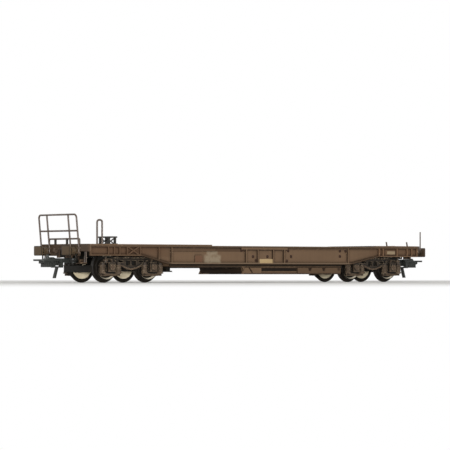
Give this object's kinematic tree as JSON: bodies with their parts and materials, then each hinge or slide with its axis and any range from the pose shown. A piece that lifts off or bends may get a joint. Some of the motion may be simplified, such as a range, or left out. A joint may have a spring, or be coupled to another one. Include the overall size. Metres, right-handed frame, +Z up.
{
  "type": "scale model pocket wagon",
  "caption": "H0 scale model bogie pocket wagon: ribbed fish-belly sills round a sunk trailer pocket, a kingpin trestle, railed platform and hook-and-loop couplers.",
  "frame": {"origin": "on the centre line midway between the couplers, at the level of the wheel flanges' lowest points", "axes": "+X along the wagon towards the plain end, +Y to the far side, +Z up"},
  "size_m": [0.2028, 0.032, 0.0274],
  "materials": {
    "body_brown": "matte, lightly weathered",
    "buffer_brown": "matte",
    "bogie_brown": "matte",
    "bogie_dark": "matte",
    "coupler_black": "satin",
    "trestle_black": "matte",
    "railing_wire": "satin paint",
    "wheel_metal": "turned, bright treads",
    "underframe_dark": "matte",
    "axle_steel": "turned"
  },
  "bodies": {
    "underframe": {"bolster_a": "underframe_dark", "bolster_b": "underframe_dark", "brake_valve": "underframe_dark", "buffer_a_far": "buffer_brown", "buffer_a_near": "buffer_brown", "buffer_b_far": "buffer_brown", "buffer_b_near": "buffer_brown", "centre_beam_a": "underframe_dark", "centre_beam_b": "underframe_dark", "corner_step_far": "body_brown", "corner_step_near": "body_brown", "deck_a": "body_brown", "deck_b": "body_brown", "end_bulkhead": "underframe_dark", "end_post": "railing_wire", "end_railing": "railing_wire", "handrail": "railing_wire", "headstock_a": "body_brown", "headstock_b": "body_brown", "kingpin_trestle": "trestle_black", "pocket_floor": "body_brown", "pocket_side_far": "body_brown", "pocket_side_near": "body_brown", "side_sill_far": "body_brown", "side_sill_near": "body_brown", "stakes": "railing_wire", "stop_bar": "railing_wire"},
    "wheelset_1": {"axle_1": "axle_steel", "wheels_1": "wheel_metal"},
    "wheelset_2": {"axle_2": "axle_steel", "wheels_2": "wheel_metal"},
    "wheelset_3": {"axle_3": "axle_steel", "wheels_3": "wheel_metal"},
    "wheelset_4": {"axle_4": "axle_steel", "wheels_4": "wheel_metal"},
    "bogie_a": {"bogie_a_brakes": "bogie_dark", "bogie_a_side_far": "bogie_brown", "bogie_a_side_near": "bogie_brown", "bogie_a_transom": "bogie_dark"},
    "bogie_b": {"bogie_b_brakes": "bogie_dark", "bogie_b_side_far": "bogie_brown", "bogie_b_side_near": "bogie_brown", "bogie_b_transom": "bogie_dark"},
    "coupler_a": {"coupler_a": "coupler_black"},
    "coupler_b": {"coupler_b": "coupler_black"},
    "loop_a": {"coupler_loop_a": "coupler_black"},
    "loop_b": {"coupler_loop_b": "coupler_black"}
  },
  "joints": [
    {"name": "bogie_a_swivel", "type": "hinge", "parent": "underframe", "child": "bogie_a", "pos_m": [-0.0644, 0, 0.0099], "axis": [0, 0, 1], "range_deg": [-10.5, 10.5]},
    {"name": "bogie_b_swivel", "type": "hinge", "parent": "underframe", "child": "bogie_b", "pos_m": [0.0644, 0, 0.0099], "axis": [0, 0, 1], "range_deg": [-10.5, 10.5]},
    {"name": "wheelset_1_spin", "type": "hinge", "parent": "bogie_a", "child": "wheelset_1", "pos_m": [-0.07477, 0, 0.0063], "axis": [0, 1, 0], "continuous": true},
    {"name": "wheelset_2_spin", "type": "hinge", "parent": "bogie_a", "child": "wheelset_2", "pos_m": [-0.05403, 0, 0.0063], "axis": [0, 1, 0], "continuous": true},
    {"name": "wheelset_3_spin", "type": "hinge", "parent": "bogie_b", "child": "wheelset_3", "pos_m": [0.05403, 0, 0.0063], "axis": [0, 1, 0], "continuous": true},
    {"name": "wheelset_4_spin", "type": "hinge", "parent": "bogie_b", "child": "wheelset_4", "pos_m": [0.07477, 0, 0.0063], "axis": [0, 1, 0], "continuous": true},
    {"name": "coupler_a_swing", "type": "hinge", "parent": "underframe", "child": "coupler_a", "pos_m": [-0.0845, 0, 0.0089], "axis": [0, 0, 1], "range_deg": [-15, 15]},
    {"name": "loop_a_lift", "type": "hinge", "parent": "coupler_a", "child": "loop_a", "pos_m": [-0.092, 0, 0.009], "axis": [0, 1, 0], "range_deg": [0, 12]},
    {"name": "coupler_b_swing", "type": "hinge", "parent": "underframe", "child": "coupler_b", "pos_m": [0.0845, 0, 0.0089], "axis": [0, 0, 1], "range_deg": [-15, 15]},
    {"name": "loop_b_lift", "type": "hinge", "parent": "coupler_b", "child": "loop_b", "pos_m": [0.092, 0, 0.009], "axis": [0, -1, 0], "range_deg": [0, 12]}
  ]
}
